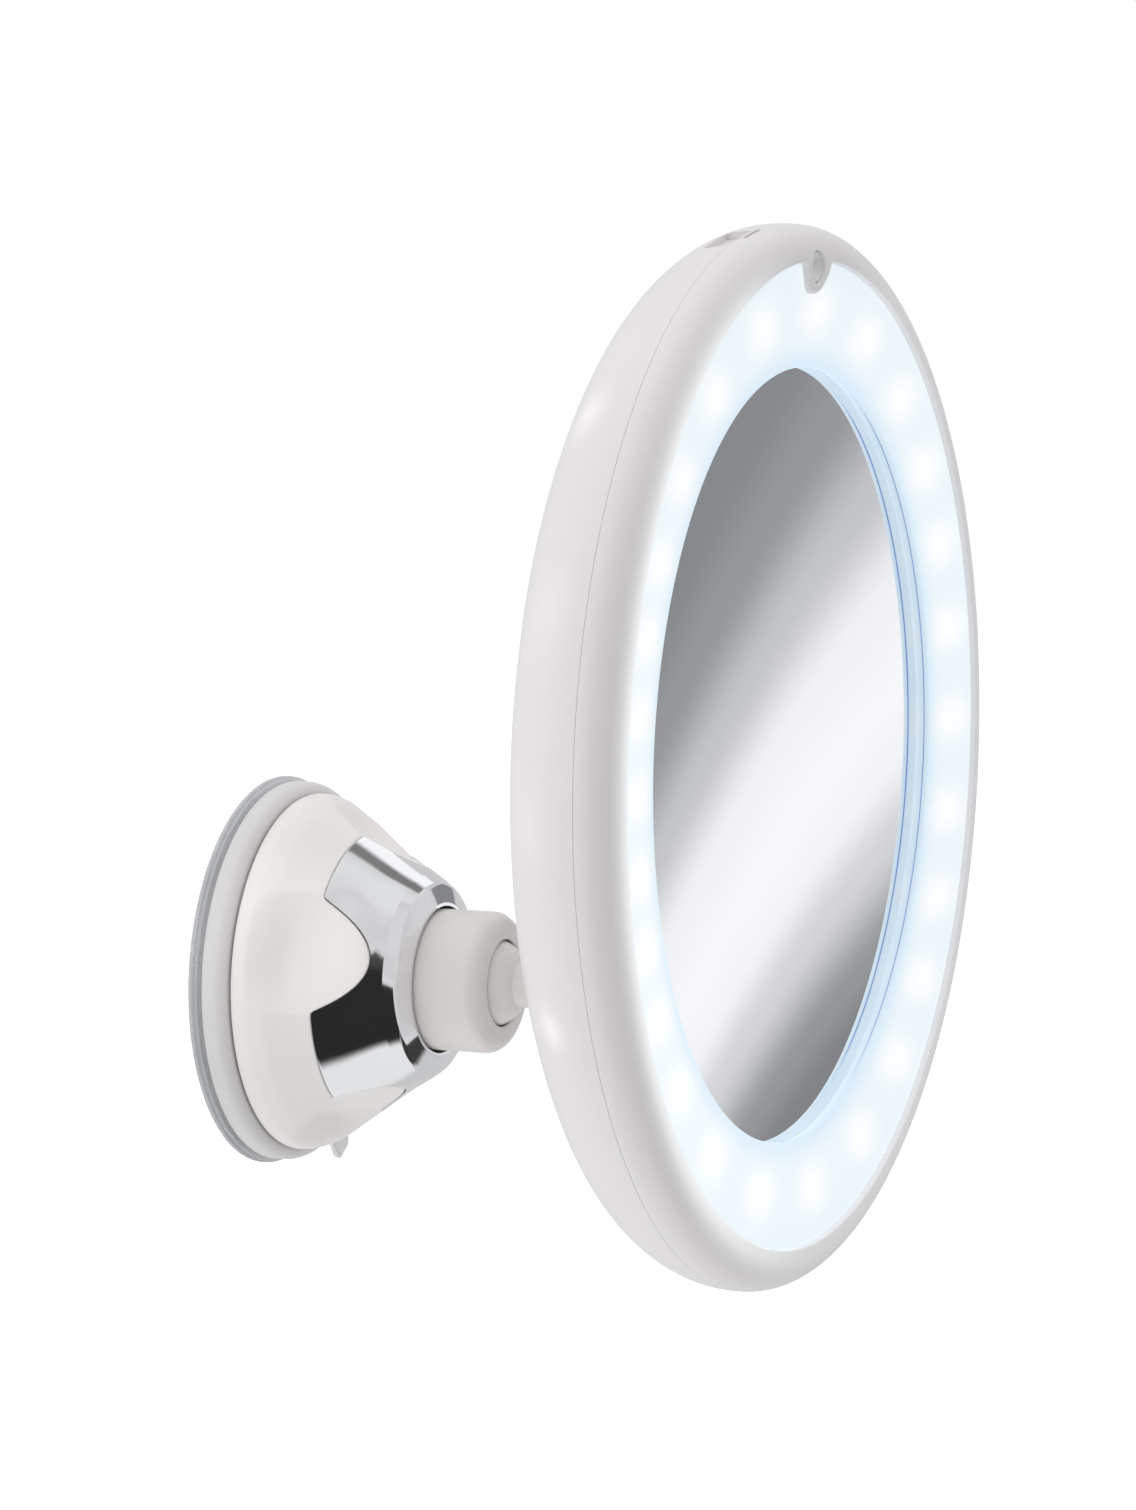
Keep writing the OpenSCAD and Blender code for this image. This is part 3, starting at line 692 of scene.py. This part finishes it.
def glow_at(points):
    """Brightness of the lit ring: soft spots over the diodes, paler between them and at the inner lip."""
    spread = 4.9
    glow = np.full(len(points), 0.48)
    for place in diode_places():
        away = np.hypot((points[:, 0] - place[0]) / 1.8, points[:, 2] - place[1])
        glow += 0.52 * np.exp(-(away / spread) ** 2)
    radius = np.hypot(points[:, 0], points[:, 2] - WINDOW_UP)
    glow *= 0.35 + 0.65 * ramp(LIP_R - 1.0, LIP_R + 6.5, radius)
    glow *= 1 - 0.08 * ramp(WINDOW_R - 4, WINDOW_R, radius)
    return np.clip(glow, 0, 1)


def make_mirror(material):
    centre_out = GLASS_EDGE_OUT + math.sqrt(GLASS_CURVE ** 2 - GLASS_SEEN_R ** 2)
    radius = np.linspace(0, GLASS_SEEN_R + 1.9, 60)
    face = np.stack([radius, centre_out - np.sqrt(GLASS_CURVE ** 2 - radius ** 2)], -1)
    back = face[::-1].copy()
    back[:, 1] -= GLASS_THICK
    return lathe("magnifying_glass", np.concatenate([face, back]), "head", material,
                 ["mirror_glass"], WINDOW_UP, 360, 30)


def make_button(material):
    top = FRONT - LOBE_DROP - 0.25
    turns = np.linspace(0, 1, 12)
    dish = np.stack([2.2 * turns, top - 1.05 + 0.9 * turns ** 2], -1)
    side = BUTTON_R - 0.04
    rim = rounded([(2.2, top - 0.15, 0), (2.42, top, 0.1), (side, top, 0.24), (side, 110.1, 0),
                   (3.8, 110.1, 0), (3.8, 108.3, 0), (0, 108.3, 0)], 6)[1:]
    return lathe("button", np.concatenate([dish, rim]), "button", material,
                 ["power_button"], BUTTON_UP, 96)


def make_battery_cover(material):
    centre = (0, HEAD_UP + BOX_UP)
    cover = layers("battery_door", pad_layers(COVER_W - 0.5, COVER_H - 0.5, 2, centre, [
        (HUMP_BACK, 0.5), (HUMP_BACK + 0.08, 0.25), (HUMP_BACK + 0.25, 0.06), (HUMP_BACK + 0.5, 0),
        (HUMP_BACK + 1.9, 0)]), "battery_door", material, ["battery_cover"], crease=30)
    cutters = []
    for i in range(5):
        at = (0, centre[1] - COVER_H / 2 + 6.35 + 1.6 * i)
        cutters.append(tool(pad_layers(16, 0.8, 0.4, at, [
            (HUMP_BACK - 1, -0.15), (HUMP_BACK + 0.02, -0.1), (HUMP_BACK + 0.3, 0.1),
            (HUMP_BACK + 0.5, 0.2)])))
    screw_at = (0, centre[1] + COVER_SCREW_UP)
    cutters.append(tool(disc_layers(screw_at, [
        (HUMP_BACK - 0.5, 2.75), (HUMP_BACK, 2.45), (HUMP_BACK + 0.9, 1.5), (HUMP_BACK + 3, 1.5)])))
    combine(cover, cutters)
    return cover


# ---------------------------------------------------------------- stage, light and camera

FLOOR_SIZE = 12.0
FLOOR_UP = -0.42


def hide_from(made, *kinds):
    for kind in kinds:
        setattr(made, "visible_" + kind, False)


def make_floor():
    """Plain pale floor, well below the mirror."""
    bpy.ops.mesh.primitive_plane_add(size=FLOOR_SIZE, location=(0, 0, FLOOR_UP))
    floor = bpy.context.object
    floor.name = "floor"
    paint = shader("pale_floor", (0.9, 0.9, 0.9), 0.9)
    surface = paint.node_tree.nodes["Principled BSDF"]
    surface.inputs["Emission Color"].default_value = (1, 1, 1, 1)
    surface.inputs["Emission Strength"].default_value = 0.3
    floor.data.materials.append(paint)
    hide_from(floor, "glossy", "diffuse", "transmission")


def direction(turn, lift):
    """Unit vector from degrees round the vertical, from +X towards +Y, and degrees up."""
    a, b = math.radians(turn), math.radians(lift)
    return Vector((math.cos(b) * math.cos(a), math.cos(b) * math.sin(a), math.sin(b)))


# Card that the mirror reflects: size and distance in metres, run of the shades across it per metre
CARD_SIZE = 0.34
CARD_AWAY = 0.5
CARD_SLANT = (-7.37, 5.34, 0)
CARD_SHIFT = 0.48


def make_reflector():
    """Card that only glossy surfaces see: a bright band that fades to grey on both sides."""
    towards = direction(-21.5, -5.8)
    glass = Vector((0, -GLASS_EDGE_OUT, WINDOW_UP)) * MM
    bpy.ops.mesh.primitive_plane_add(size=CARD_SIZE, location=glass + towards * CARD_AWAY)
    card = bpy.context.object
    card.name = "reflector_card"
    card.rotation_euler = (-towards).to_track_quat("Z", "Y").to_euler()
    paint = bpy.data.materials.new("reflector_paint")
    paint.use_nodes = True
    tree = paint.node_tree
    tree.nodes.clear()
    place = tree.nodes.new("ShaderNodeTexCoord")
    slant = tree.nodes.new("ShaderNodeVectorMath")
    slant.operation = "DOT_PRODUCT"
    slant.inputs[1].default_value = CARD_SLANT
    tree.links.new(place.outputs["Object"], slant.inputs[0])
    along = tree.nodes.new("ShaderNodeMath")
    along.inputs[1].default_value = CARD_SHIFT
    tree.links.new(slant.outputs["Value"], along.inputs[0])
    greys = [(0.03, 0.25), (0.10, 0.33), (0.225, 0.71), (0.32, 0.97), (0.40, 1.0), (0.53, 0.95),
             (0.675, 0.60), (0.83, 0.34), (1.0, 0.27)]
    # The darker, the bluer
    shades = colour_ramp(tree, along.outputs["Value"], [
        (at, (grey * (0.955 + 0.045 * grey), grey * (0.975 + 0.02 * grey), grey * 1.02))
        for at, grey in greys])
    shades.color_ramp.interpolation = "EASE"
    glow = tree.nodes.new("ShaderNodeEmission")
    tree.links.new(shades.outputs["Color"], glow.inputs["Color"])
    out = tree.nodes.new("ShaderNodeOutputMaterial")
    tree.links.new(glow.outputs["Emission"], out.inputs["Surface"])
    card.data.materials.append(paint)
    hide_from(card, "camera", "diffuse", "transmission", "shadow")


def panel_light(tree, place, base, panels):
    """Brightness by direction: an even base with soft round panels laid over it."""
    level = tree.nodes.new("ShaderNodeValue")
    level.outputs[0].default_value = base
    current = level.outputs[0]
    for turn, lift, half, soft, bright in panels:
        towards = tree.nodes.new("ShaderNodeVectorMath")
        towards.operation = "DOT_PRODUCT"
        towards.inputs[1].default_value = direction(turn, lift)
        tree.links.new(place, towards.inputs[0])
        inside = tree.nodes.new("ShaderNodeMapRange")
        inside.interpolation_type = "SMOOTHSTEP"
        inside.inputs["From Min"].default_value = math.cos(math.radians(half + soft))
        inside.inputs["From Max"].default_value = math.cos(math.radians(half))
        tree.links.new(towards.outputs["Value"], inside.inputs["Value"])
        mix = tree.nodes.new("ShaderNodeMix")
        mix.data_type = "FLOAT"
        mix.inputs["B"].default_value = bright
        tree.links.new(inside.outputs["Result"], mix.inputs["Factor"])
        tree.links.new(current, mix.inputs["A"])
        current = mix.outputs["Result"]
    return current


def make_world():
    """White background, an even soft light, and a studio of panels that glossy surfaces reflect."""
    world = bpy.data.worlds.new("studio")
    bpy.context.scene.world = world
    world.use_nodes = True
    tree = world.node_tree
    tree.nodes.clear()
    place = tree.nodes.new("ShaderNodeTexCoord").outputs["Generated"]
    # Panels: turn, lift, half width in degrees, softness in degrees, brightness
    lit = panel_light(tree, place, 0.95, [
        (178, -5, 45, 30, 1.16),
        (90, 85, 30, 30, 1.14),
        (-124, -12, 26, 24, 0.14),
        (0, -90, 34, 18, 1.24),
    ])
    seen = panel_light(tree, place, 0.64, [
        (0, 90, 24, 14, 0.84),
        (0, -90, 27, 10, 0.88),
        (-97, -4, 19, 12, 0.34),
        (-142, 12, 28, 14, 0.06),
        (-132, -22, 32, 10, 0.025),
        (-67, -40, 15, 7, 0.04),
        (-65, -4, 12, 8, 0.36),
        (-51, -25, 9, 6, 0.05),
        (-58, 36, 12, 16, 1.0),
        (-6, 38, 7, 4, 1.05),
        (-20, 53, 4, 4, 0.22),
    ])
    path = tree.nodes.new("ShaderNodeLightPath")
    strength = tree.nodes.new("ShaderNodeMix")
    strength.data_type = "FLOAT"
    tree.links.new(path.outputs["Is Glossy Ray"], strength.inputs["Factor"])
    tree.links.new(lit, strength.inputs["A"])
    tree.links.new(seen, strength.inputs["B"])
    studio = tree.nodes.new("ShaderNodeBackground")
    studio.inputs["Color"].default_value = (1, 1, 1, 1)
    tree.links.new(strength.outputs["Result"], studio.inputs["Strength"])
    white = tree.nodes.new("ShaderNodeBackground")
    white.inputs["Color"].default_value = (1, 1, 1, 1)
    both = tree.nodes.new("ShaderNodeMixShader")
    out = tree.nodes.new("ShaderNodeOutputWorld")
    tree.links.new(path.outputs["Is Camera Ray"], both.inputs["Fac"])
    tree.links.new(studio.outputs["Background"], both.inputs[1])
    tree.links.new(white.outputs["Background"], both.inputs[2])
    tree.links.new(both.outputs["Shader"], out.inputs["Surface"])


def make_accent():
    """Narrow soft light that models the knob's near scallop."""
    data = bpy.data.lights.new("accent", "SPOT")
    data.energy = 11.0
    data.spot_size = math.radians(2.4)
    data.spot_blend = 1.0
    data.shadow_soft_size = 0.02
    made = bpy.data.objects.new("accent", data)
    turn = TONGUE_TURN + math.radians(11)
    aim = Vector((-28 * math.sin(turn), -15.5, 28 * math.cos(turn))) * MM
    towards = direction(-152, 42)
    made.location = aim + towards * 0.5
    made.rotation_euler = towards.to_track_quat("Z", "Y").to_euler()
    bpy.context.scene.collection.objects.link(made)
    hide_from(made, "camera", "glossy")


def make_camera():
    data = bpy.data.cameras.new("camera")
    data.lens = 119.2
    data.sensor_width = 36
    made = bpy.data.objects.new("camera", data)
    made.location = (-0.87425, -0.43916, 0.14105)
    looking = direction(23.316, -5.769)
    made.rotation_euler = looking.to_track_quat("-Z", "Y").to_euler()
    bpy.context.scene.collection.objects.link(made)
    bpy.context.scene.camera = made


# ---------------------------------------------------------------- everything

def dress_nodes():
    """Finishes for the CAD nodes that stay."""
    finishes = {
        "post_white": (moulded("post_white", (0.75, 0.75, 0.73)), [
            "socket_post", "thrust_washer", "cam_ring", "cam_ramps", "clamp_ring", "ball_seat",
            "suction_stud", "mirror_carrier"]),
        "pin_steel": (steel("pin_steel"), ["cross_pin"]),
        "screw_steel": (steel("screw_steel", (0.5, 0.5, 0.52), 0.35), [
            "post_screws", "stem_screws", "cover_screw"]),
        "spring_steel": (steel("spring_steel", (0.66, 0.65, 0.6), 0.28), [
            "contact_springs", "contact_plates"]),
        "seal_black": (moulded("seal_black", (0.05, 0.05, 0.055), 0.7), ["case_seal"]),
        "cell_green": (moulded("cell_green", (0.05, 0.16, 0.08), 0.3), ["batteries"]),
        "board_white": (moulded("board_white", (0.8, 0.81, 0.78), 0.45), ["led_board"]),
        "board_green": (moulded("board_green", (0.03, 0.14, 0.07), 0.4), ["switch_board"]),
        "diode_yellow": (moulded("diode_yellow", (0.85, 0.78, 0.42), 0.25), ["leds"]),
        "switch_black": (moulded("switch_black", (0.03, 0.03, 0.032), 0.45), ["push_switch"]),
        "wire_red": (moulded("wire_red", (0.5, 0.03, 0.03), 0.4), ["lead_wires"]),
    }
    for material, names in finishes.values():
        for name in names:
            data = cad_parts[name].data
            data.materials.clear()
            data.materials.append(material)


def main():
    dark = (0, 0, 0)
    # The back shell and the bezel carry painted glow through their emission
    back_white = glowing(white_plastic("back_white"), "painted_glow", [(0.0, dark), (1.0, (1, 0.99, 0.98))], 0.17)
    rim_white = glowing(white_plastic("rim_white"), "painted_glow", [(0.0, dark), (1.0, (0.94, 0.99, 1))], 0.36)
    joint_white = white_plastic("joint_white", (0.70, 0.675, 0.66), 0.24)
    make_suction_cup(clear_rubber(), frosted_rubber())
    make_base_ring(white_plastic("base_white", (0.69, 0.68, 0.675), 0.4))
    make_knob(knob_plastic())
    make_crown(chrome())
    make_collar(joint_white)
    make_stem(joint_white)
    make_back_shell(back_white)
    make_bezel(rim_white)
    make_light_ring(milky())
    make_mirror(silvered())
    make_button(white_plastic("button_white", (0.76, 0.75, 0.77), 0.16))
    make_battery_cover(white_plastic("door_white"))
    dress_nodes()
    make_floor()
    make_reflector()
    make_world()
    make_accent()
    make_camera()
    bpy.context.scene.view_settings.view_transform = "Standard"


main()
